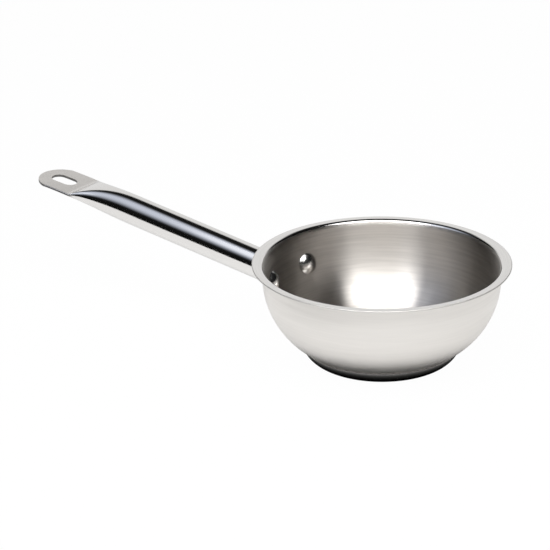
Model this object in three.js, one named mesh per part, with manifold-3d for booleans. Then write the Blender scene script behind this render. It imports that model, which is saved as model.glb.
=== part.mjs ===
// Deep saute pan: a bowl with a pouring lip, a capped sandwich base and a riveted tube handle.
// Millimetres, +Z up. The origin is the centre of the base's underside, and the handle points along -X.
import * as THREE from 'three';
import { mergeVertices } from 'three/addons/utils/BufferGeometryUtils.js';
import Module from 'manifold-3d';

// Bowl, one drawn sheet
const RIM_RADIUS = 80; // outer edge of the pouring lip
const PAN_HEIGHT = 63.2; // table to the top of the lip
const SHEET = 1; // thickness of the bowl's sheet
const LIP_REACH = 6.4; // how far the lip stands out from the upright stretch of the wall
const FOOT_RADIUS = 41; // where the wall's arc, drawn on, would meet the underside of the floor
const FLOOR_FILLET = 15; // outside radius between floor and wall
const LIP_FLAT = 3.8; // level stretch of the lip
const LIP_STRAIGHT = 5.35; // upright stretch of the wall under the lip's curve

// Sandwich base
const CORE_THICKNESS = 5; // aluminium disc
const CORE_INSET = 4; // from the widest place inside the cap in to the disc's rim
const CAP_SHEET = 0.6; // thickness of the steel cap
const CAP_CORNER = 13; // outside radius of the cap's rounded side
const CAP_HEIGHT = 9.3; // table to the cap's edge

// Handle: a round tube that is pressed flat into a tab at its far end
const TUBE_RADIUS = 9.85;
const TUBE_WALL = 0.8;
const TUBE_DROP = 24.6; // from the lip's top down to the tube's axis, at the belly
const TUBE_SLOPE = THREE.MathUtils.degToRad(8.87);
const TUBE_LENGTH = 117.1; // round stretch, from the belly along the axis
const FLATTEN_LENGTH = 48.7; // stretch in which the round section turns flat
const FALL_POWER = 2.75; // how late in that stretch the height falls
const SPREAD_POWER = 4; // and how late the width grows
const BEND_LENGTH = 27.3; // stretch of the flat tab that bends down a little
const TAB_SLOPE = THREE.MathUtils.degToRad(5.86); // at the tab's end, past the bend
const TAB_REACH = 20.2; // from the middle of the bend to the end of the tab
const TAB_WIDTH = 32.6; // and twice the radius of its rounded end
const SLOT_LENGTH = 19;
const SLOT_WIDTH = 10.8;
const SLOT_FROM_END = 17.6; // centre of the slot to the end of the tab

// Bracket and rivets
const PLATE_THICKNESS = 2;
const PLATE_HEIGHT = 26;
const PLATE_MARGIN = 9; // plate beyond each rivet's centre
const NECK_WALL = 1.5;
const NECK_LENGTH = 14; // from the belly into the tube
const RIVET_SPACING = 37;
const RIVET_DROP = 22.4; // from the lip's top down to the rivets
const SHANK_RADIUS = 3;
const HEAD_RADIUS = 7; // domed head inside the bowl
const HEAD_HEIGHT = 3;
const TAIL_RADIUS = 4.8; // set head on the bracket
const TAIL_HEIGHT = 1.8;

// Clearances
const SEAT_GAP = 0.3; // between formed pieces that lie against each other
const HOLE_GAP = 0.3; // round a rivet's shank
const NECK_GAP = 0.3; // between the neck and the tube's bore
const CAP_GAP = 0.1; // between the cap's edge and the wall

// Facets
const ROUND = 64; // about the pan's axis
const TUBE_SIDES = 36;
const SMALL_ROUND = 24; // rivets and their holes
const FLATTEN_STEPS = 11;
const BEND_STEPS = 3;
const MERGE = 1e-3;

// Levels and radii that follow from the sizes above
const floorZ = CAP_SHEET + CORE_THICKNESS;
const bellyRadius = RIM_RADIUS - LIP_REACH; // outside of the wall where it stands upright
const lipRadius = LIP_REACH - LIP_FLAT;
const lipZ = PAN_HEIGHT - SHEET - lipRadius;
const bellyZ = lipZ - LIP_STRAIGHT;
const wallRise = bellyZ - floorZ;
const wallRun = bellyRadius - FOOT_RADIUS;
const wallArc = (wallRise ** 2 + wallRun ** 2) / (2 * wallRun);
const wallCentre = new THREE.Vector2(bellyRadius - wallArc, bellyZ);
const filletCentre = new THREE.Vector2(
  wallCentre.x + Math.sqrt((wallArc - FLOOR_FILLET) ** 2 - (wallRise - FLOOR_FILLET) ** 2),
  floorZ + FLOOR_FILLET,
);
const filletEnd = filletCentre.clone().sub(wallCentre).angle() - 2 * Math.PI;
const capEndAngle = Math.acos(Math.max(0, 1 - CAP_HEIGHT / CAP_CORNER));
const capInside = CAP_CORNER - CAP_SHEET; // inside radius of the cap's rounded side
const capEdgeZ = CAP_CORNER - capInside * Math.cos(capEndAngle); // at the inside of the cap's edge
const capEdgeRadius = wallRadius(capEdgeZ) + CAP_GAP;
const capFlatRadius = capEdgeRadius - capInside * Math.sin(capEndAngle);
const coreRadius = capEdgeRadius - CORE_INSET;
const rivetZ = PAN_HEIGHT - RIVET_DROP;
const bracketOuter = SEAT_GAP + PLATE_THICKNESS;

// Middle line of the handle: straight along the tube, then a slight bend in the tab
const tubeRoot = new THREE.Vector3(-bellyRadius, 0, PAN_HEIGHT - TUBE_DROP);
const flatStart = onward(tubeRoot, TUBE_SLOPE, TUBE_LENGTH);
const flatEnd = onward(flatStart, TUBE_SLOPE, FLATTEN_LENGTH);
const bendMiddle = onward(flatEnd, TUBE_SLOPE, BEND_LENGTH / 2);
const bendEnd = onward(bendMiddle, TAB_SLOPE, BEND_LENGTH / 2);
const tabEnd = onward(bendMiddle, TAB_SLOPE, TAB_REACH);
const bend = new THREE.QuadraticBezierCurve3(flatEnd, bendMiddle, bendEnd);

const wasm = await Module();
wasm.setup();

// Closed triangle mesh to a solid that can be cut and joined, and back
function solid(geometry) {
  const bare = new THREE.BufferGeometry();
  bare.setAttribute('position', geometry.getAttribute('position'));
  bare.setIndex(geometry.index);
  const merged = mergeVertices(bare, MERGE);
  const mesh = new wasm.Mesh({
    numProp: 3,
    vertProperties: merged.getAttribute('position').array,
    triVerts: new Uint32Array(merged.index.array),
  });
  return new wasm.Manifold(mesh);
}

function geometryOf(body) {
  const mesh = body.getMesh();
  const geometry = new THREE.BufferGeometry();
  geometry.setAttribute('position', new THREE.BufferAttribute(mesh.vertProperties, 3));
  geometry.setIndex(new THREE.BufferAttribute(mesh.triVerts, 1));
  geometry.computeVertexNormals();
  return geometry;
}

// Points of an arc in a section, from angle `from` to angle `to`
function arc(centre, radius, from, to, steps) {
  const points = [];
  for (let i = 0; i <= steps; i += 1) {
    const angle = THREE.MathUtils.lerp(from, to, i / steps);
    points.push(new THREE.Vector2(Math.cos(angle), Math.sin(angle)).multiplyScalar(radius).add(centre));
  }
  return points;
}

// Profile of (radius, height) points turned about the Z axis
function turned(profile) {
  return solid(new THREE.LatheGeometry(profile, ROUND).rotateX(Math.PI / 2));
}

// Outline with straight sides and two round ends, along its first axis
function stadium(length, width) {
  const radius = width / 2;
  const half = length / 2 - radius;
  const outline = new THREE.Shape();
  outline.moveTo(-half, -radius);
  outline.lineTo(half, -radius);
  outline.absarc(half, 0, radius, -Math.PI / 2, Math.PI / 2);
  outline.lineTo(-half, radius);
  outline.absarc(-half, 0, radius, Math.PI / 2, 1.5 * Math.PI);
  return outline;
}

// Outline pushed both ways out of its plane
function prism(outline, depth) {
  const settings = { depth, curveSegments: SMALL_ROUND / 2, bevelEnabled: false };
  return new THREE.ExtrudeGeometry(outline, settings).translate(0, 0, -depth / 2);
}

// Bowl: the radius of its outer skin at a height on the rounded wall
function wallRadius(z) {
  return wallCentre.x + Math.sqrt(wallArc ** 2 - (bellyZ - z) ** 2);
}

// The skin that lies `offset` outside the bowl's outer skin, from the axis to the upright wall
function wallSkin(offset) {
  return [
    new THREE.Vector2(0, floorZ - offset),
    ...arc(filletCentre, FLOOR_FILLET + offset, -Math.PI / 2, filletEnd, 3),
    ...arc(wallCentre, wallArc + offset, filletEnd, 0, 9).slice(1),
  ];
}

// The same skin on over the lip's curve
function bowlSkin(offset) {
  const lipCentre = new THREE.Vector2(bellyRadius + lipRadius, lipZ);
  return [...wallSkin(offset), ...arc(lipCentre, lipRadius - offset, Math.PI, Math.PI / 2, 5)];
}

// All the space inside such a skin, up to the upright wall's top
function insideSkin(offset) {
  const top = [
    new THREE.Vector2(bellyRadius + offset, lipZ),
    new THREE.Vector2(0, lipZ),
  ];
  return turned([...wallSkin(offset), ...top]);
}

function bowl() {
  const edgeCentre = new THREE.Vector2(RIM_RADIUS - SHEET / 2, PAN_HEIGHT - SHEET / 2);
  const edge = arc(edgeCentre, SHEET / 2, -Math.PI / 2, Math.PI / 2, 4);
  const sheet = turned([...bowlSkin(0), ...edge, ...bowlSkin(-SHEET).reverse()]);
  return sheet.subtract(rivetHole(1)).subtract(rivetHole(-1));
}

// Base: the cap's section at a depth under its outer skin, from the axis up to its edge
function capSkin(depth) {
  const centre = new THREE.Vector2(capFlatRadius, CAP_CORNER);
  const side = arc(centre, CAP_CORNER - depth, -Math.PI / 2, capEndAngle - Math.PI / 2, 6);
  return [new THREE.Vector2(0, depth), ...side];
}

function baseCap() {
  return turned([...capSkin(0), ...capSkin(CAP_SHEET).reverse()]);
}

// The disc lies flat on the cap and under the floor, and keeps clear of both where they curve
function coreDisc() {
  const corner = capInside - SEAT_GAP;
  const cornerCentre = new THREE.Vector2(capFlatRadius, CAP_CORNER);
  const cornerEnd = Math.asin((coreRadius - capFlatRadius) / corner) - Math.PI / 2;
  const under = FLOOR_FILLET + SEAT_GAP;
  const topEnd = -Math.acos((coreRadius - filletCentre.x) / under);
  return turned([
    new THREE.Vector2(0, CAP_SHEET),
    new THREE.Vector2(capFlatRadius - SEAT_GAP, CAP_SHEET),
    ...arc(cornerCentre, corner, -Math.PI / 2, cornerEnd, 4),
    ...arc(filletCentre, under, topEnd, -Math.PI / 2, 3),
    new THREE.Vector2(filletCentre.x - SEAT_GAP, floorZ),
    new THREE.Vector2(0, floorZ),
  ]);
}

// Handle: direction away from the bowl at a slope, and a place further on in that direction
function outward(slope) {
  return new THREE.Vector3(-Math.cos(slope), 0, Math.sin(slope));
}

function onward(from, slope, length) {
  return from.clone().addScaledVector(outward(slope), length);
}

// Section of the handle at a place: round at share 0 of the flattening, two layers pressed together at 1
function section(at, along, share) {
  return {
    at,
    along,
    halfHeight: THREE.MathUtils.lerp(TUBE_RADIUS, TUBE_WALL, share ** FALL_POWER),
    halfWidth: THREE.MathUtils.lerp(TUBE_RADIUS, TAB_WIDTH / 2, share ** SPREAD_POWER),
  };
}

// Sections from inside the bowl to the start of the tab
function tubeSections() {
  const along = outward(TUBE_SLOPE);
  const list = [section(onward(tubeRoot, TUBE_SLOPE, -bellyRadius / 2), along, 0)];
  for (let i = 0; i <= FLATTEN_STEPS; i += 1) {
    list.push(section(flatStart.clone().lerp(flatEnd, i / FLATTEN_STEPS), along, i / FLATTEN_STEPS));
  }
  return list;
}

// Sections of the tab, on past its end
function tabSections() {
  const list = [];
  for (let i = 1; i <= BEND_STEPS; i += 1) {
    list.push(section(bend.getPoint(i / BEND_STEPS), bend.getTangent(i / BEND_STEPS), 1));
  }
  list.push(section(onward(tabEnd, TAB_SLOPE, TAB_WIDTH), outward(TAB_SLOPE), 1));
  return list;
}

// Outline of a section, `wall` inside its outer skin: two half rounds with a flat above and below
function ring({ at, along, halfHeight, halfWidth }, wall) {
  const up = new THREE.Vector3(along.z, 0, -along.x);
  const points = [];
  for (let i = 0; i < TUBE_SIDES; i += 1) {
    const angle = ((i + 0.5) / TUBE_SIDES) * 2 * Math.PI;
    const rise = (halfHeight - wall) * Math.sin(angle);
    const round = (halfHeight - wall) * Math.cos(angle);
    const side = round + Math.sign(round) * (halfWidth - halfHeight);
    points.push(at.clone().addScaledVector(up, rise).setY(side));
  }
  return points;
}

// Skin over a row of rings, closed by a fan at each end
function loft(rings) {
  const count = rings[0].length;
  const faces = [];
  for (let r = 0; r + 1 < rings.length; r += 1) {
    for (let i = 0; i < count; i += 1) {
      const a = r * count + i;
      const b = r * count + ((i + 1) % count);
      faces.push(a, a + count, b, b, a + count, b + count);
    }
  }
  const last = (rings.length - 1) * count;
  for (let i = 1; i + 1 < count; i += 1) {
    faces.push(0, i, i + 1, last, last + i + 1, last + i);
  }
  return solid(new THREE.BufferGeometry().setFromPoints(rings.flat()).setIndex(faces));
}

// Frame on the tab: first axis along the handle, third axis up out of the flat
function onTab(fromEnd) {
  const along = outward(TAB_SLOPE);
  const across = new THREE.Vector3(0, -1, 0);
  const place = new THREE.Matrix4().makeBasis(along, across, along.clone().cross(across));
  return place.setPosition(onward(tabEnd, TAB_SLOPE, -fromEnd));
}

// What the tab's end is cut to: a half round as wide as the tab, open towards the bowl
function tabOutline() {
  const radius = TAB_WIDTH / 2;
  const reach = TUBE_LENGTH + FLATTEN_LENGTH + BEND_LENGTH + bellyRadius;
  const outline = new THREE.Shape();
  outline.moveTo(-reach, -TAB_WIDTH);
  outline.lineTo(-radius, -TAB_WIDTH);
  outline.lineTo(-radius, -radius);
  outline.absarc(-radius, 0, radius, -Math.PI / 2, Math.PI / 2);
  outline.lineTo(-radius, TAB_WIDTH);
  outline.lineTo(-reach, TAB_WIDTH);
  return solid(prism(outline, reach).applyMatrix4(onTab(0)));
}

// The bore ends one step before the tab, where the two layers meet
function handleTube() {
  const sections = tubeSections();
  const outside = loft([...sections, ...tabSections()].map((place) => ring(place, 0)));
  const bore = loft(sections.slice(0, -1).map((place) => ring(place, TUBE_WALL)));
  const slotBlank = prism(stadium(SLOT_LENGTH, SLOT_WIDTH), SLOT_LENGTH);
  const slot = solid(slotBlank.applyMatrix4(onTab(SLOT_FROM_END)));
  const seat = insideSkin(bracketOuter + SEAT_GAP);
  return outside.intersect(tabOutline()).subtract(bore).subtract(slot).subtract(seat);
}

// Frame on the wall at a rivet, its third axis straight out through the wall; `side` is 1 or -1
function atRivet(side) {
  const fall = Math.asin((rivetZ - bellyZ) / wallArc);
  const radius = wallRadius(rivetZ);
  const turn = Math.PI - side * Math.asin(RIVET_SPACING / 2 / radius);
  const out = new THREE.Vector3(
    Math.cos(fall) * Math.cos(turn),
    Math.cos(fall) * Math.sin(turn),
    Math.sin(fall),
  );
  const straight = new THREE.Vector3(0, 0, 1);
  const place = new THREE.Matrix4();
  place.makeRotationFromQuaternion(new THREE.Quaternion().setFromUnitVectors(straight, out));
  return place.setPosition(radius * Math.cos(turn), radius * Math.sin(turn), rivetZ);
}

// Round bar along a rivet's axis, from one level to another
function rivetBar(side, radius, from, to) {
  const bar = new THREE.CylinderGeometry(radius, radius, to - from, SMALL_ROUND);
  bar.rotateX(Math.PI / 2).translate(0, 0, (from + to) / 2);
  return solid(bar.applyMatrix4(atRivet(side)));
}

function rivetHole(side) {
  return rivetBar(side, SHANK_RADIUS + HOLE_GAP, -HEAD_RADIUS, HEAD_RADIUS);
}

// Dome of a given radius and height over a level on a rivet's axis, with a foot that reaches the wall
function dome(side, radius, height, level, facing) {
  const sphere = (radius ** 2 + height ** 2) / (2 * height);
  const spread = Math.asin(radius / sphere);
  const top = arc(new THREE.Vector2(0, height - sphere), sphere, Math.PI / 2 - spread, Math.PI / 2, 5);
  const foot = [new THREE.Vector2(0, -height), new THREE.Vector2(radius, -height)];
  const shape = new THREE.LatheGeometry([...foot, ...top], SMALL_ROUND).rotateX(Math.PI / 2);
  if (facing < 0) {
    shape.rotateX(Math.PI);
  }
  return solid(shape.translate(0, 0, level).applyMatrix4(atRivet(side)));
}

// Rivet: domed head seated in the bowl, shank through wall and plate, set head seated on the plate
function rivet(side) {
  const headLevel = -SHEET - SEAT_GAP;
  const tailLevel = bracketOuter + SEAT_GAP;
  const head = dome(side, HEAD_RADIUS, HEAD_HEIGHT, headLevel, -1).intersect(insideSkin(headLevel));
  const tail = dome(side, TAIL_RADIUS, TAIL_HEIGHT, tailLevel, 1).subtract(insideSkin(tailLevel));
  const shank = rivetBar(side, SHANK_RADIUS, headLevel - HEAD_HEIGHT / 2, tailLevel + TAIL_HEIGHT / 2);
  return head.add(shank).add(tail);
}

// Round bar along the tube's axis, from the pan's axis to a length beyond the belly
function tubeBar(radius, length) {
  const bar = new THREE.CylinderGeometry(radius, radius, bellyRadius + length, TUBE_SIDES);
  bar.rotateZ(Math.PI / 2).translate((bellyRadius - length) / 2, 0, 0).rotateY(TUBE_SLOPE);
  return solid(bar.translate(tubeRoot.x, tubeRoot.y, tubeRoot.z));
}

// Bracket: an oval plate bent to the wall, with a drawn neck inside the tube and two rivet holes
function handleBracket() {
  const outline = stadium(RIVET_SPACING + 2 * PLATE_MARGIN, PLATE_HEIGHT);
  const blank = prism(outline, bellyRadius).rotateX(Math.PI / 2).rotateZ(Math.PI / 2);
  const plate = insideSkin(bracketOuter).intersect(solid(blank.translate(-bellyRadius, 0, rivetZ)));
  const neckRadius = TUBE_RADIUS - TUBE_WALL - NECK_GAP;
  const formed = plate.add(tubeBar(neckRadius, NECK_LENGTH)).subtract(insideSkin(SEAT_GAP));
  const bored = formed.subtract(tubeBar(neckRadius - NECK_WALL, 2 * NECK_LENGTH));
  return bored.subtract(rivetHole(1)).subtract(rivetHole(-1));
}

// Assembly
const pan = new THREE.Group();

function addPiece(parent, name, body, color, roughness, metalness = 1) {
  const material = new THREE.MeshStandardMaterial({ color, roughness, metalness });
  const mesh = new THREE.Mesh(geometryOf(body), material);
  mesh.name = name;
  parent.add(mesh);
}

const vessel = new THREE.Group();
addPiece(vessel, 'pan_body', bowl(), 0xdedbd6, 0.3);
addPiece(vessel, 'core_disc', coreDisc(), 0xc9cbcd, 0.5);
addPiece(vessel, 'base_cap', baseCap(), 0xcfccc8, 0.35);
pan.add(vessel);

const handle = new THREE.Group();
addPiece(handle, 'handle_bracket', handleBracket(), 0xd4d2ce, 0.3);
addPiece(handle, 'handle_tube', handleTube(), 0xe4e4e6, 0.08);
addPiece(handle, 'rivet_near', rivet(-1), 0xe0dfdd, 0.1);
addPiece(handle, 'rivet_far', rivet(1), 0xe0dfdd, 0.1);
pan.add(handle);

export default pan;
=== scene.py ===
"""Looks of the deep saute pan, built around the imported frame.

Fine steel meshes, materials, studio and camera.
"""
import math

import bmesh
import bpy
from mathutils import Matrix, Vector


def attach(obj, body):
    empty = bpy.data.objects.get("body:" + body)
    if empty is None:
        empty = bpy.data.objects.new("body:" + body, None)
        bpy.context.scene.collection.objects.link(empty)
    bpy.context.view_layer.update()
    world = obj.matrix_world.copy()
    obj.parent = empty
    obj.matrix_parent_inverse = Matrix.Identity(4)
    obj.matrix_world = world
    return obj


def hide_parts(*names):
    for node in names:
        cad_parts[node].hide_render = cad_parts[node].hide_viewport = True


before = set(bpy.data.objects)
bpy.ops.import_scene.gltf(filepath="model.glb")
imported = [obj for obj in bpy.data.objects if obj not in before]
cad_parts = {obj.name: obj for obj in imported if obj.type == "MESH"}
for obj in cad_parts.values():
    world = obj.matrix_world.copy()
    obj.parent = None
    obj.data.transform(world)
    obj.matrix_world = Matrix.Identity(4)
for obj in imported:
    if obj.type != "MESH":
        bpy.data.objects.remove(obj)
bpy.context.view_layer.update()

MM = 0.001  # the sizes below are in millimetres, the scene is in metres

# Bowl
RIM_RADIUS = 80
PAN_HEIGHT = 63.2
SHEET = 1
BELLY_RADIUS = 73.6
FOOT_RADIUS = 41
FLOOR_FILLET = 15
LIP_FLAT = 3.8
LIP_STRAIGHT = 5.35

# Base
CORE_THICKNESS = 5
CAP_SHEET = 0.6
CAP_CORNER = 13
CAP_HEIGHT = 9.3
CAP_GAP = 0.1

# Handle
TUBE_RADIUS = 9.85
TUBE_WALL = 0.8
TUBE_DROP = 24.6
TUBE_SLOPE = math.radians(8.87)
TUBE_LENGTH = 117.1
FLATTEN_LENGTH = 48.7
FALL_POWER = 2.75
SPREAD_POWER = 4
BEND_LENGTH = 27.3
TAB_SLOPE = math.radians(5.86)
TAB_REACH = 20.2
TAB_WIDTH = 32.6
SLOT_LENGTH = 19
SLOT_WIDTH = 10.8
SLOT_FROM_END = 17.6
EDGE_ROUND = 0.25

# Bracket and rivets
PLATE_THICKNESS = 2
PLATE_HEIGHT = 26
PLATE_MARGIN = 9
NECK_WALL = 1.5
NECK_LENGTH = 14
RIVET_SPACING = 37
RIVET_DROP = 22.4
SHANK_RADIUS = 3
HEAD_RADIUS = 7
HEAD_HEIGHT = 3
TAIL_RADIUS = 4.8
TAIL_HEIGHT = 1.8
GAP = 0.3  # seats, holes and the neck

# Levels and radii that follow
floor_z = CAP_SHEET + CORE_THICKNESS
lip_radius = RIM_RADIUS - LIP_FLAT - BELLY_RADIUS
lip_z = PAN_HEIGHT - SHEET - lip_radius
belly_z = lip_z - LIP_STRAIGHT
wall_rise = belly_z - floor_z
wall_run = BELLY_RADIUS - FOOT_RADIUS
wall_arc = (wall_rise**2 + wall_run**2) / (2 * wall_run)
wall_centre = (BELLY_RADIUS - wall_arc, belly_z)
fillet_centre = (
    wall_centre[0] + math.sqrt((wall_arc - FLOOR_FILLET) ** 2 - (wall_rise - FLOOR_FILLET) ** 2),
    floor_z + FLOOR_FILLET,
)
fillet_end = math.atan2(fillet_centre[1] - wall_centre[1], fillet_centre[0] - wall_centre[0])
rivet_z = PAN_HEIGHT - RIVET_DROP
bracket_outer = GAP + PLATE_THICKNESS

# Fineness of the meshes: sides of what is turned or lofted, steps of each arc
BOWL_SIDES = 320
TUBE_SIDES = 144
RIVET_SIDES = 96
HOLE_SIDES = 64
NECK_SIDES = 128
FILLET_STEPS = 14
WALL_STEPS = 48
LIP_STEPS = 20
POLISHED_STEPS = 11  # of the inner lip curve
EDGE_STEPS = 12
CAP_STEPS = 32
FLATTEN_STEPS = 48
BORE_SHORT = 4  # flattening steps without bore
BEND_STEPS = 12
TAB_STEPS = 64
STADIUM_STEPS = 32
DOME_STEPS = 24

# Material slots of the bowl
OUTSIDE, EDGE, LIP, INSIDE = range(4)


# Mesh tools
def make_object(name, points, faces):
    mesh = bpy.data.meshes.new(name)
    mesh.from_pydata([Vector(p) * MM for p in points], [], faces)
    made = bmesh.new()
    made.from_mesh(mesh)
    bmesh.ops.recalc_face_normals(made, faces=made.faces)
    made.to_mesh(mesh)
    made.free()
    obj = bpy.data.objects.new(name, mesh)
    bpy.context.scene.collection.objects.link(obj)
    return obj


def arc(centre, radius, start, end, steps):
    angles = [start + (end - start) * i / steps for i in range(steps + 1)]
    return [(centre[0] + radius * math.cos(a), centre[1] + radius * math.sin(a)) for a in angles]


def turned(name, profile, sides=256, slots=None):
    """Closed section of (radius, height) points turned about Z, with a slot for each stretch."""
    points = []
    rows = []
    for radius, height in profile:
        if radius == 0:
            rows.append([len(points)] * sides)
            points.append((0, 0, height))
            continue
        rows.append(list(range(len(points), len(points) + sides)))
        for i in range(sides):
            angle = 2 * math.pi * i / sides
            points.append((radius * math.cos(angle), radius * math.sin(angle), height))
    faces = []
    owners = []
    for k, row in enumerate(rows):
        after = rows[(k + 1) % len(rows)]
        for i in range(sides):
            j = (i + 1) % sides
            corners = list(dict.fromkeys([row[i], row[j], after[j], after[i]]))
            if len(corners) > 2:
                faces.append(corners)
                owners.append(slots[k] if slots else 0)
    obj = make_object(name, points, faces)
    obj.data.polygons.foreach_set("material_index", owners)
    return obj


def lofted(name, rings):
    """Skin over a row of rings with the same number of points, closed at both ends."""
    count = len(rings[0])
    faces = []
    for r in range(len(rings) - 1):
        for i in range(count):
            j = (i + 1) % count
            faces.append((r * count + i, r * count + j, (r + 1) * count + j, (r + 1) * count + i))
    last = (len(rings) - 1) * count
    faces.append(tuple(range(count)))
    faces.append(tuple(last + i for i in range(count)))
    return make_object(name, [p for ring in rings for p in ring], faces)


def combine(obj, other, operation):
    """Joins to obj, or cuts from it, the other object, which is then gone."""
    step = obj.modifiers.new("combine", "BOOLEAN")
    step.operation = operation
    step.solver = "MANIFOLD"
    step.object = other
    ready = obj.evaluated_get(bpy.context.evaluated_depsgraph_get())
    mesh = bpy.data.meshes.new_from_object(ready)
    obj.modifiers.clear()
    obj.data = mesh
    bpy.data.objects.remove(other)
    return obj


def smooth(obj, sharp_degrees=35):
    obj.data.shade_smooth()
    obj.data.set_sharp_from_angle(angle=math.radians(sharp_degrees))


def round_edges(obj, width, segments=3, sharp_degrees=40):
    """Small rounding on the sharp edges that cutting leaves."""
    step = obj.modifiers.new("edges", "BEVEL")
    step.width = width * MM
    step.segments = segments
    step.limit_method = "ANGLE"
    step.angle_limit = math.radians(sharp_degrees)
    step.harden_normals = True


# Bowl
def wall_radius(z):
    return wall_centre[0] + math.sqrt(wall_arc**2 - (belly_z - z) ** 2)


def wall_skin(offset):
    return [
        (0, floor_z - offset),
        (fillet_centre[0] / 2, floor_z - offset),
        *arc(fillet_centre, FLOOR_FILLET + offset, -math.pi / 2, fillet_end, FILLET_STEPS),
        *arc(wall_centre, wall_arc + offset, fillet_end, 0, WALL_STEPS)[1:],
    ]


def bowl_skin(offset):
    lip_centre = (BELLY_RADIUS + lip_radius, lip_z)
    lip = arc(lip_centre, lip_radius - offset, math.pi, math.pi / 2, LIP_STEPS)
    return wall_skin(offset) + lip


def inside_skin(offset):
    """Solid that fills the bowl, grown by the offset, to shape what lies against the wall."""
    top = [(BELLY_RADIUS + offset, lip_z), (0, lip_z)]
    return turned("inside", wall_skin(offset) + top)


def at_rivet(side):
    """Frame on the wall at a rivet, with its third axis out through the wall."""
    fall = math.asin((rivet_z - belly_z) / wall_arc)
    radius = wall_radius(rivet_z)
    turn = math.pi - side * math.asin(RIVET_SPACING / 2 / radius)
    level = math.cos(fall)
    out = Vector((level * math.cos(turn), level * math.sin(turn), math.sin(fall)))
    place = Vector((radius * math.cos(turn), radius * math.sin(turn), rivet_z)) * MM
    tilt = Vector((0, 0, 1)).rotation_difference(out)
    return Matrix.Translation(place) @ tilt.to_matrix().to_4x4()


def rivet_bar(side, radius, low, high):
    bar = turned("bar", [(0, low), (radius, low), (radius, high), (0, high)], HOLE_SIDES)
    bar.data.transform(at_rivet(side))
    return bar


def rivet_hole(side):
    return rivet_bar(side, SHANK_RADIUS + GAP, -HEAD_RADIUS, HEAD_RADIUS)


def make_bowl():
    outer = bowl_skin(0)
    edge_centre = (RIM_RADIUS - SHEET / 2, PAN_HEIGHT - SHEET / 2)
    edge = arc(edge_centre, SHEET / 2, -math.pi / 2, math.pi / 2, EDGE_STEPS)
    inner = bowl_skin(-SHEET)[::-1]
    slots = [OUTSIDE] * len(outer) + [EDGE] * (len(edge) - 1)
    slots += [LIP] * (POLISHED_STEPS + 1) + [INSIDE] * (len(inner) - POLISHED_STEPS)
    bowl = turned("bowl", outer + edge + inner, BOWL_SIDES, slots)
    for side in (1, -1):
        combine(bowl, rivet_hole(side), "DIFFERENCE")
    smooth(bowl)
    return bowl


# Base cap
def make_cap():
    end = math.acos(1 - CAP_HEIGHT / CAP_CORNER)
    inside = CAP_CORNER - CAP_SHEET
    edge_radius = wall_radius(CAP_CORNER - inside * math.cos(end)) + CAP_GAP
    centre = (edge_radius - inside * math.sin(end), CAP_CORNER)
    bottom, top = -math.pi / 2, end - math.pi / 2
    outer = [(0, 0), (centre[0] / 2, 0), *arc(centre, CAP_CORNER, bottom, top, CAP_STEPS)]
    inner = [(0, CAP_SHEET), *arc(centre, inside, bottom, top, CAP_STEPS)]
    cap = turned("cap", outer + inner[::-1], BOWL_SIDES)
    smooth(cap)
    return cap


# Handle
def onward(start, slope, length):
    return start + Vector((-math.cos(slope), 0, math.sin(slope))) * length


tube_root = Vector((-BELLY_RADIUS, 0, PAN_HEIGHT - TUBE_DROP))
flat_start = onward(tube_root, TUBE_SLOPE, TUBE_LENGTH)
flat_end = onward(flat_start, TUBE_SLOPE, FLATTEN_LENGTH)
bend_middle = onward(flat_end, TUBE_SLOPE, BEND_LENGTH / 2)
bend_end = onward(bend_middle, TAB_SLOPE, BEND_LENGTH / 2)
tab_end = onward(bend_middle, TAB_SLOPE, TAB_REACH)


def section(at, slope, share, wall=0):
    """Outline of the handle at a place: round at share 0 of the flattening, pressed flat at 1."""
    half_height = TUBE_RADIUS + (TUBE_WALL - TUBE_RADIUS) * share**FALL_POWER
    half_width = TUBE_RADIUS + (TAB_WIDTH / 2 - TUBE_RADIUS) * share**SPREAD_POWER
    up = Vector((math.sin(slope), 0, math.cos(slope)))
    ring = []
    for i in range(TUBE_SIDES):
        angle = 2 * math.pi * (i + 0.5) / TUBE_SIDES
        rise = (half_height - wall) * math.sin(angle)
        across = (half_height - wall) * math.cos(angle)
        across += math.copysign(half_width - half_height, across)
        ring.append(at + up * rise + Vector((0, across, 0)))
    return ring


def tube_places(steps=FLATTEN_STEPS):
    """Places, slopes and shares of the flattening from inside the bowl to the flat end."""
    places = [(onward(tube_root, TUBE_SLOPE, -BELLY_RADIUS / 2), TUBE_SLOPE, 0)]
    for i in range(steps + 1):
        places.append((flat_start.lerp(flat_end, i / steps), TUBE_SLOPE, i / steps))
    return places


def tab_places(steps=BEND_STEPS):
    """The same round the bend and on past the end of the tab."""
    places = []
    for i in range(1, steps + 1):
        t = i / steps
        at = flat_end * (1 - t) ** 2 + bend_middle * 2 * t * (1 - t) + bend_end * t * t
        places.append((at, TUBE_SLOPE + (TAB_SLOPE - TUBE_SLOPE) * t, 1))
    places.append((onward(tab_end, TAB_SLOPE, TAB_WIDTH), TAB_SLOPE, 1))
    return places


def stadium(length, width, steps=STADIUM_STEPS):
    half = length / 2 - width / 2
    right = arc((half, 0), width / 2, -math.pi / 2, math.pi / 2, steps)
    return right + arc((-half, 0), width / 2, math.pi / 2, 1.5 * math.pi, steps)


def prism(outline, depth):
    low = [Vector((x, y, -depth / 2)) for x, y in outline]
    high = [Vector((x, y, depth / 2)) for x, y in outline]
    return lofted("prism", [low, high])


def on_tab(obj, from_end):
    """Puts what was made flat at the origin on the tab, its first axis along the handle."""
    at = onward(tab_end, TAB_SLOPE, -from_end) * MM
    turn = Matrix.Rotation(TAB_SLOPE, 4, "Y") @ Matrix.Rotation(math.pi, 4, "Z")
    obj.data.transform(Matrix.Translation(at) @ turn)
    return obj


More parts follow.
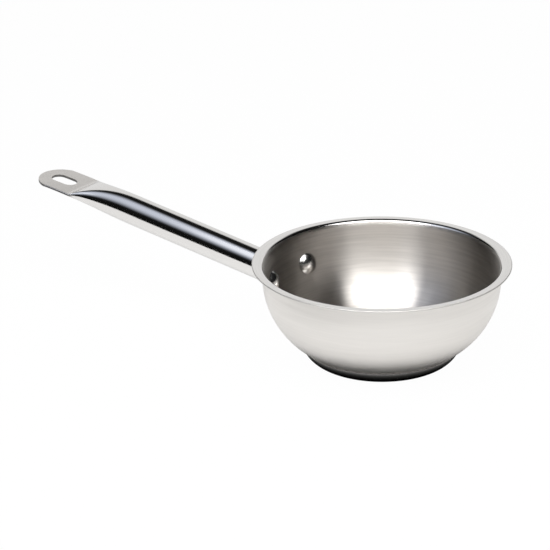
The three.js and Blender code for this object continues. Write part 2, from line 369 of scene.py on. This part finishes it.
def tab_outline():
    """Tall block that leaves the tab its round end and all of the handle before it."""
    radius = TAB_WIDTH / 2
    reach = 4 * TUBE_LENGTH
    corners = [(-reach, -TAB_WIDTH), (-radius, -TAB_WIDTH)]
    end = arc((-radius, 0), radius, -math.pi / 2, math.pi / 2, TAB_STEPS)
    return prism(corners + end + [(-radius, TAB_WIDTH), (-reach, TAB_WIDTH)], reach)


def make_tube():
    places = tube_places()
    tube = lofted("handle", [section(*place) for place in places + tab_places()])
    combine(tube, on_tab(tab_outline(), 0), "INTERSECT")
    bore = [section(*place, TUBE_WALL) for place in places[:-BORE_SHORT]]
    combine(tube, lofted("bore", bore), "DIFFERENCE")
    slot = prism(stadium(SLOT_LENGTH, SLOT_WIDTH), SLOT_LENGTH)
    combine(tube, on_tab(slot, SLOT_FROM_END), "DIFFERENCE")
    combine(tube, inside_skin(bracket_outer + GAP), "DIFFERENCE")
    smooth(tube)
    round_edges(tube, EDGE_ROUND)
    return tube


# Rivets
def dome(side, radius, height, level, facing):
    """Rivet head on a short bar, at a level from the wall, that faces out (1) or in (-1)."""
    sphere = (radius**2 + height**2) / (2 * height)
    spread = math.asin(radius / sphere)
    top = arc((0, height - sphere), sphere, math.pi / 2 - spread, math.pi / 2, DOME_STEPS)
    profile = [(0, -height), (radius, -height), *top[:-1], (0, height)]
    shape = turned("dome", profile, RIVET_SIDES)
    turn = Matrix.Rotation(math.pi, 4, "X") if facing < 0 else Matrix.Identity(4)
    shape.data.transform(at_rivet(side) @ Matrix.Translation((0, 0, level * MM)) @ turn)
    return shape


def make_rivet(name, side):
    head_level = -SHEET - GAP
    tail_level = bracket_outer + GAP
    rivet = dome(side, HEAD_RADIUS, HEAD_HEIGHT, head_level, -1)
    rivet.name = name
    combine(rivet, inside_skin(head_level), "INTERSECT")
    tail = dome(side, TAIL_RADIUS, TAIL_HEIGHT, tail_level, 1)
    combine(tail, inside_skin(tail_level), "DIFFERENCE")
    low, high = head_level - HEAD_HEIGHT / 2, tail_level + TAIL_HEIGHT / 2
    shank = rivet_bar(side, SHANK_RADIUS, low, high)
    combine(rivet, shank, "UNION")
    combine(rivet, tail, "UNION")
    smooth(rivet, sharp_degrees=50)
    return rivet


# Bracket
def tube_bar(radius, length):
    low, high = -BELLY_RADIUS, length
    bar = turned("bar", [(0, low), (radius, low), (radius, high), (0, high)], NECK_SIDES)
    turn = Matrix.Rotation(TUBE_SLOPE - math.pi / 2, 4, "Y")
    bar.data.transform(Matrix.Translation(tube_root * MM) @ turn)
    return bar


def make_bracket():
    blank = prism(stadium(RIVET_SPACING + 2 * PLATE_MARGIN, PLATE_HEIGHT), BELLY_RADIUS)
    stand = Matrix.Rotation(math.pi / 2, 4, "Z") @ Matrix.Rotation(math.pi / 2, 4, "X")
    blank.data.transform(Matrix.Translation(Vector((-BELLY_RADIUS, 0, rivet_z)) * MM) @ stand)
    bracket = inside_skin(bracket_outer)
    bracket.name = "bracket"
    neck_radius = TUBE_RADIUS - TUBE_WALL - GAP
    combine(bracket, blank, "INTERSECT")
    combine(bracket, tube_bar(neck_radius, NECK_LENGTH), "UNION")
    combine(bracket, inside_skin(GAP), "DIFFERENCE")
    combine(bracket, tube_bar(neck_radius - NECK_WALL, 2 * NECK_LENGTH), "DIFFERENCE")
    for side in (1, -1):
        combine(bracket, rivet_hole(side), "DIFFERENCE")
    smooth(bracket)
    round_edges(bracket, EDGE_ROUND)
    return bracket


# Node graphs
class Graph:
    """Node tree of a material or of the world, with short calls for the nodes used here."""

    def __init__(self, owner):
        owner.use_nodes = True
        self.tree = owner.node_tree
        self.tree.nodes.clear()

    def add(self, kind):
        return self.tree.nodes.new("ShaderNode" + kind)

    def put(self, value, socket):
        """Links an output to the socket, or sets the socket to a constant."""
        if isinstance(value, bpy.types.NodeSocket):
            self.tree.links.new(value, socket)
        else:
            socket.default_value = value

    def math(self, operation, *values):
        node = self.add("Math")
        node.operation = operation
        for value, socket in zip(values, node.inputs):
            self.put(value, socket)
        return node.outputs[0]

    def product(self, first, *others):
        for other in others:
            first = self.math("MULTIPLY", first, other)
        return first

    def vector(self, operation, *values):
        node = self.add("VectorMath")
        node.operation = operation
        for value, socket in zip(values, node.inputs):
            self.put(value, socket)
        return node.outputs["Value" if operation in ("DOT_PRODUCT", "LENGTH") else "Vector"]

    def split(self, vector):
        node = self.add("SeparateXYZ")
        self.put(vector, node.inputs[0])
        return node.outputs

    def ramp(self, value, span, start=0, end=1):
        """Goes smoothly from start to end while the value goes through the span."""
        node = self.add("MapRange")
        node.interpolation_type = "SMOOTHSTEP"
        node.inputs["From Min"].default_value, node.inputs["From Max"].default_value = span
        node.inputs["To Min"].default_value = start
        node.inputs["To Max"].default_value = end
        self.put(value, node.inputs["Value"])
        return node.outputs["Result"]

    def shades(self, share, first, second):
        """Colour that goes from the first to the second as the share goes from 0 to 1."""
        node = self.add("Mix")
        node.data_type = "RGBA"
        self.put(share, node.inputs[0])
        for color, socket in zip((first, second), node.inputs[6:8]):  # its two colour sockets
            self.put((*color, 1) if isinstance(color, tuple) else color, socket)
        return node.outputs[2]

    def blend(self, share, first, second):
        """The same for two shaders."""
        node = self.add("MixShader")
        for value, socket in zip((share, first, second), node.inputs):
            self.put(value, socket)
        return node.outputs[0]

    def end(self, shader, kind="OutputMaterial"):
        self.put(shader, self.add(kind).inputs["Surface"])


def new_material(name):
    material = bpy.data.materials.new(name)
    return material, Graph(material)


def in_metres(*sizes):
    return tuple(size * MM for size in sizes)


# Steel
STREAK_DETAIL = 4
STREAK_GLOSS = (0.25, 0.75)  # stretch of the noise over which the roughness changes
STREAK_TONE = (0.3, 0.7)  # and over which the colour changes
ALONG_STREAKS = 0.25  # of a turn
FINER_HEIGHTS = (22, 48)  # the inside is finest below the first and coarsest above the second

TUBE_COLOR = (0.785, 0.77, 0.75)
TUBE_ROUGHNESS = 0.12
TAB_COLORS = (0.71, 0.685, 0.655), (0.8, 0.775, 0.745)
TAB_ROUGHER = (0.18, 0.3)  # more than the tube
TAB_GRAIN = (900, 300, 300)  # per metre, along the handle, across it and up
TAB_GRAIN_DETAIL = 3
TAB_BLEND = (-2.1, 2.9)  # from the end of the flattening
# Painted shade on the tab's cut edges and on the sides of the tube next to the tab
EDGE_SHADE_COLOR = (0.16, 0.155, 0.15)
EDGE_SHADE_BLEND = (-0.1, 3.9)  # from the end of the flattening
EDGE_SHADE_TILT = (0.3, 0.8)  # upward share of the normal: full painted shade under the first, none over the second


def brush_lines(graph, around, across):
    """Streaks round the pan's axis: slow change around it, quick change along the section."""
    place = graph.add("TexCoord").outputs["Object"]
    flat = graph.vector("MULTIPLY", place, (1, 1, 0))
    spread = graph.vector("MULTIPLY", graph.vector("NORMALIZE", flat), (around, around, around))
    lifted = graph.vector("MULTIPLY", place, (0, 0, across))
    noise = graph.add("TexNoise")
    noise.noise_dimensions = "4D"
    noise.inputs["Scale"].default_value = 1
    noise.inputs["Detail"].default_value = STREAK_DETAIL
    graph.put(graph.vector("ADD", spread, lifted), noise.inputs["Vector"])
    graph.put(graph.product(graph.vector("LENGTH", flat), across), noise.inputs["W"])
    return noise.outputs["Fac"]


def steel(name, color, roughness, spread, aniso=0, tone=0.03, around=2, across=1500, finer=0):
    """Stainless steel with streaks round the pan's axis in its gloss and in its colour.

    The roughness differs by spread and the colour by the share tone from streak to streak.
    Low on the wall the roughness is less by the value finer.
    """
    material, graph = new_material(name)
    shader = graph.add("BsdfPrincipled")
    shader.inputs["Metallic"].default_value = 1
    shader.inputs["Anisotropic"].default_value = aniso
    shader.inputs["Anisotropic Rotation"].default_value = ALONG_STREAKS
    lines = brush_lines(graph, around, across)
    rough = graph.ramp(lines, STREAK_GLOSS, roughness - spread, roughness + spread)
    if finer:
        height = graph.split(graph.add("TexCoord").outputs["Object"])["Z"]
        less = graph.ramp(height, in_metres(*FINER_HEIGHTS), finer, 0)
        rough = graph.math("SUBTRACT", rough, less)
    graph.put(rough, shader.inputs["Roughness"])
    light, dark = (tuple(part * share for part in color) for share in (1 + tone, 1 - tone))
    streaked = graph.shades(graph.ramp(lines, STREAK_TONE), light, dark)
    graph.put(streaked, shader.inputs["Base Color"])
    if aniso:
        tangent = graph.add("Tangent")
        tangent.direction_type = "RADIAL"
        tangent.axis = "Z"
        graph.put(tangent.outputs[0], shader.inputs["Tangent"])
    graph.end(shader.outputs[0])
    return material


def handle_steel():
    """Polished tube. Its flat tab is brushed and mottled, and its sideways faces, the cut edges of
    the tab and the sides of the flattened tube next to it, are darkened with painted shade.
    """
    material, graph = new_material("handle_steel")
    shader = graph.add("BsdfPrincipled")
    shader.inputs["Metallic"].default_value = 1
    place = graph.add("TexCoord").outputs["Object"]
    grain = graph.add("TexNoise")
    grain.inputs["Scale"].default_value = 1
    grain.inputs["Detail"].default_value = TAB_GRAIN_DETAIL
    graph.put(graph.vector("MULTIPLY", place, TAB_GRAIN), grain.inputs["Vector"])
    mottled = grain.outputs["Fac"]

    along = graph.split(place)["X"]
    tab = graph.ramp(along, in_metres(*(flat_end.x + shift for shift in TAB_BLEND)), 1, 0)
    cut = graph.ramp(along, in_metres(*(flat_end.x + shift for shift in EDGE_SHADE_BLEND)), 1, 0)
    normal = graph.add("NewGeometry").outputs["Normal"]
    upright = graph.math("ABSOLUTE", graph.split(normal)["Z"])
    # painted shade on faces that look sideways, on and near the tab
    edge = graph.product(cut, graph.ramp(upright, EDGE_SHADE_TILT, 1, 0))

    flat = graph.shades(graph.ramp(mottled, STREAK_TONE), *TAB_COLORS)
    color = graph.shades(edge, graph.shades(tab, TUBE_COLOR, flat), EDGE_SHADE_COLOR)
    graph.put(color, shader.inputs["Base Color"])
    rougher = graph.ramp(mottled, STREAK_TONE, *TAB_ROUGHER)
    rough = graph.math("MULTIPLY_ADD", tab, rougher, TUBE_ROUGHNESS)
    graph.put(rough, shader.inputs["Roughness"])
    graph.end(shader.outputs[0])
    return material


outside_steel = steel(
    "outside_steel",
    color=(0.795, 0.769, 0.732),
    roughness=0.36,
    spread=0.03,
    aniso=0.6,
    tone=0.012,
    across=800,
)
# Its colour is darker than the outside's, as painted shade that darkens the sides of the inside
inside_steel = steel(
    "inside_steel",
    color=(0.6, 0.572, 0.54),
    roughness=0.4,
    spread=0.02,
    aniso=1,
    tone=0.06,
    across=700,
    finer=0.1,
)
edge_steel = steel("edge_steel", color=(0.7, 0.68, 0.655), roughness=0.55, spread=0.05)
lip_steel = steel("lip_steel", color=(0.8, 0.785, 0.765), roughness=0.11, spread=0.02)
cap_steel = steel("cap_steel", color=(0.72, 0.705, 0.69), roughness=0.12, spread=0.02)
bracket_steel = steel("bracket_steel", color=(0.74, 0.73, 0.715), roughness=0.3, spread=0.04)
rivet_steel = steel(
    "rivet_steel", color=(0.78, 0.775, 0.76), roughness=0.2, spread=0.02, across=300
)
core_metal = steel("core_metal", color=(0.8, 0.8, 0.81), roughness=0.4, spread=0.05)


# Pieces
def add_piece(obj, node, slot, *materials):
    slots = obj.data.materials
    while len(slots) < len(materials):
        slots.append(None)
    for i, material in enumerate(materials):
        slots[i] = material
    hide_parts(node)
    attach(obj, "root")


bowl_steels = (outside_steel, edge_steel, lip_steel, inside_steel)
add_piece(make_bowl(), "pan_body", "bowl_steel", *bowl_steels)
add_piece(make_cap(), "base_cap", "cap_steel", cap_steel)
add_piece(make_tube(), "handle_tube", "tube_steel", handle_steel())
add_piece(make_rivet("rivet_head_near", -1), "rivet_near", "rivet_steel", rivet_steel)
add_piece(make_rivet("rivet_head_far", 1), "rivet_far", "rivet_steel", rivet_steel)
add_piece(make_bracket(), "handle_bracket", "bracket_steel", bracket_steel)
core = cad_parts["core_disc"]
core.data.materials.clear()
core.data.materials.append(core_metal)

# Studio: a white floor, two soft boxes over the pan and in front of it, a strip of light and a
# bluish side light on the left, a white sweep behind and a dark room elsewhere.
# Directions on the floor: towards the camera and to the right, as the camera sees them.
VIEW_TURN = math.radians(33)
to_camera = Vector((math.sin(VIEW_TURN), -math.cos(VIEW_TURN), 0))
to_right = Vector((math.cos(VIEW_TURN), math.sin(VIEW_TURN), 0))

# Floor. Each pair is a stretch over which the named thing comes or goes.
FLOOR_REACH = 20000
FLOOR_GAP = 0.05  # under the pan
FLOOR_COLOR = (0.94, 0.94, 0.94)
CAMERA_GLOW = 0.985  # share of plain white that the camera sees
STEEL_GLOW = 0.6  # the same for the steel
# Colour of the painted shadow round the base and of the painted dark patch
DARK_COLOR = (0.01, 0.01, 0.01)
DARK_TOWARD = (0, 40)  # painted dark patch on the floor in front on the left, for the steel only
DARK_RIGHT = (-420, -380)
BASE_SHADE = (50, 66)  # painted shadow round the base, for the steel only; from the pan's axis
# over this span the steel's glow comes in, leaving painted shade close to the base
BASE_PALE = (45, 80)
# Painted glow on the floor under the base, seen by the steel only
BELOW_BASE = (34, 36)
BELOW_GLOW = 0.35

# World. Angles are above the floor or to either side, shares are those of a direction.
ROOM_LEVEL = 0.006
SWEEP_LEVEL = 0.82
SWEEP_RISE = math.radians(38), math.radians(48)
SWEEP_WIDTH = math.radians(28), math.radians(44)
SIDE_LIGHT = (0.65, 0.7, 0.82)
SIDE_RISE = (0.36, 0.84)
SIDE_TOWARD = (-0.42, 0)
SIDE_RIGHT = (-0.35, -0.2)
LEVEL_LEAST = 0.001  # keeps the zenith from a division by zero

# Lamps
LAMP_HEIGHT = 900
STRIP_LEVEL = 0.4
STRIP_TURN = math.radians(48.9)
STRIP_ACROSS = (-470, -260)
STRIP_ALONG = (150, 1500)
STRIP_EDGE = (-425, -370)  # across
STRIP_START = (180, 360)  # along
STRIP_FADE = (500, 1300)  # along


def make_floor():
    """White floor, seen from above only.

    The steel sees it glowing pale, with a painted shadow close round the base, a painted glow under
    it and a painted dark patch in a corner on the left.
    """
    square = ((-1, -1), (1, -1), (1, 1), (-1, 1))
    corners = [(x * FLOOR_REACH, y * FLOOR_REACH, -FLOOR_GAP) for x, y in square]
    obj = make_object("floor", corners, [(0, 1, 2, 3)])
    material, graph = new_material("floor_white")
    place = graph.add("TexCoord").outputs["Object"]
    toward = graph.vector("DOT_PRODUCT", place, to_camera)
    right = graph.vector("DOT_PRODUCT", place, to_right)
    from_axis = graph.vector("LENGTH", place)
    path = graph.add("LightPath").outputs

    # Painted dark patch for the steel, in a corner on the left
    painted_dark_patch = graph.product(
        graph.ramp(toward, in_metres(*DARK_TOWARD)),
        graph.ramp(right, in_metres(*DARK_RIGHT), 1, 0),
    )
    # Painted shadow round the base, for the steel only
    painted_base_shadow = graph.ramp(from_axis, in_metres(*BASE_SHADE), 1, 0)
    dark = graph.product(graph.math("MAXIMUM", painted_dark_patch, painted_base_shadow), path["Is Glossy Ray"])
    paint = graph.add("BsdfDiffuse")
    graph.put(graph.shades(dark, FLOOR_COLOR, DARK_COLOR), paint.inputs["Color"])

    # The glow the steel sees, held back near the base as painted shade and held back on the painted
    # dark patch
    pale = graph.product(
        graph.ramp(from_axis, in_metres(*BASE_PALE), 0, STEEL_GLOW),
        graph.math("SUBTRACT", 1, painted_dark_patch),
    )
    # Painted glow under the base, for the steel
    below = graph.ramp(from_axis, in_metres(*BELOW_BASE), BELOW_GLOW, 0)
    pale = graph.product(graph.math("MAXIMUM", pale, below), path["Is Glossy Ray"])
    white = graph.product(path["Is Camera Ray"], CAMERA_GLOW)
    glow = graph.add("Emission")
    glow.inputs["Strength"].default_value = 1
    seen = graph.blend(graph.math("MAXIMUM", pale, white), paint.outputs[0], glow.outputs[0])

    from_below = graph.add("NewGeometry").outputs["Backfacing"]
    graph.end(graph.blend(from_below, seen, graph.add("BsdfTransparent").outputs[0]))
    obj.data.materials.append(material)


def make_world():
    """White to the camera. The steel sees the sweep behind, the side light and the dark room."""
    world = bpy.data.worlds.new("studio")
    bpy.context.scene.world = world
    graph = Graph(world)
    way = graph.add("TexCoord").outputs["Generated"]
    rise = graph.vector("DOT_PRODUCT", way, (0, 0, 1))
    toward = graph.vector("DOT_PRODUCT", way, to_camera)
    right = graph.vector("DOT_PRODUCT", way, to_right)

    level = graph.math("SQRT", graph.math("SUBTRACT", 1, graph.product(rise, rise)))
    facing = graph.math("DIVIDE", toward, graph.math("MAXIMUM", level, LEVEL_LEAST))
    sweep = graph.product(
        graph.ramp(rise, [math.sin(angle) for angle in SWEEP_RISE], SWEEP_LEVEL, 0),
        graph.ramp(facing, [-math.cos(angle) for angle in SWEEP_WIDTH], 1, 0),
    )
    side = graph.product(
        graph.ramp(rise, SIDE_RISE),
        graph.ramp(toward, SIDE_TOWARD),
        graph.ramp(right, SIDE_RIGHT, 1, 0),
    )
    room = graph.shades(side, (ROOM_LEVEL, ROOM_LEVEL, ROOM_LEVEL), SIDE_LIGHT)
    white = graph.math("MAXIMUM", sweep, graph.add("LightPath").outputs["Is Camera Ray"])
    sky = graph.add("Background")
    graph.put(graph.vector("ADD", room, white), sky.inputs["Color"])
    graph.end(sky.outputs[0], "OutputWorld")


def make_strip():
    """Strip of light left of the soft boxes, which fades along its length and to the left."""
    across = to_right * math.cos(STRIP_TURN) + to_camera * math.sin(STRIP_TURN)
    along = to_camera * math.cos(STRIP_TURN) - to_right * math.sin(STRIP_TURN)
    up = Vector((0, 0, LAMP_HEIGHT))
    (left, right), (start, stop) = STRIP_ACROSS, STRIP_ALONG
    corners = ((left, start), (right, start), (right, stop), (left, stop))
    points = [across * a + along * b + up for a, b in corners]
    obj = make_object("strip_light", points, [(0, 1, 2, 3)])
    material, graph = new_material("strip_glow")
    place = graph.add("TexCoord").outputs["Object"]
    aside = graph.vector("DOT_PRODUCT", place, across)
    ahead = graph.vector("DOT_PRODUCT", place, along)
    light = graph.add("Emission")
    glow = graph.product(
        graph.ramp(aside, in_metres(*STRIP_EDGE), 0, STRIP_LEVEL),
        graph.ramp(ahead, in_metres(*STRIP_START)),
        graph.ramp(ahead, in_metres(*STRIP_FADE), 1, 0),
    )
    graph.put(glow, light.inputs["Strength"])
    both = graph.add("AddShader")
    graph.put(light.outputs[0], both.inputs[0])
    graph.put(graph.add("BsdfTransparent").outputs[0], both.inputs[1])
    graph.end(both.outputs[0])
    obj.data.materials.append(material)
    obj.visible_camera = False
    obj.visible_shadow = False


def make_softbox(name, toward, width, length, level):
    """Soft light over the floor, seen in the steel as a bright panel of the level given."""
    data = bpy.data.lights.new(name, "AREA")
    data.shape = "RECTANGLE"
    data.size, data.size_y = in_metres(width, length)
    data.energy = level * math.pi * data.size * data.size_y
    lamp = bpy.data.objects.new(name, data)
    bpy.context.scene.collection.objects.link(lamp)
    lamp.location = (to_camera * toward + Vector((0, 0, LAMP_HEIGHT))) * MM
    lamp.rotation_euler = (0, 0, VIEW_TURN)
    lamp.visible_camera = False


make_floor()
make_world()
make_strip()
make_softbox("softbox", toward=70, width=860, length=340, level=3.2)
make_softbox("softbox_front", toward=600, width=1140, length=700, level=4.6)

# Camera at the photograph's place, found by fitting the rim, base and handle in its frame
CAMERA_PLACE = (0.76006, -1.17039, 0.61316)  # metres
CAMERA_FORWARD = Vector((-0.541736, 0.753992, -0.371508))
CAMERA_RIGHT = Vector((0.815226, 0.578994, -0.013124))
LENS = 159.55
SENSOR = 36


def make_camera():
    data = bpy.data.cameras.new("camera")
    data.lens = LENS
    data.sensor_width = SENSOR
    camera = bpy.data.objects.new("camera", data)
    bpy.context.scene.collection.objects.link(camera)
    back = -CAMERA_FORWARD.normalized()
    right = (CAMERA_RIGHT - back * CAMERA_RIGHT.dot(back)).normalized()
    turn = Matrix((right, back.cross(right), back)).transposed().to_4x4()
    camera.matrix_world = Matrix.Translation(CAMERA_PLACE) @ turn
    bpy.context.scene.camera = camera


make_camera()
bpy.context.scene.view_settings.view_transform = "Standard"
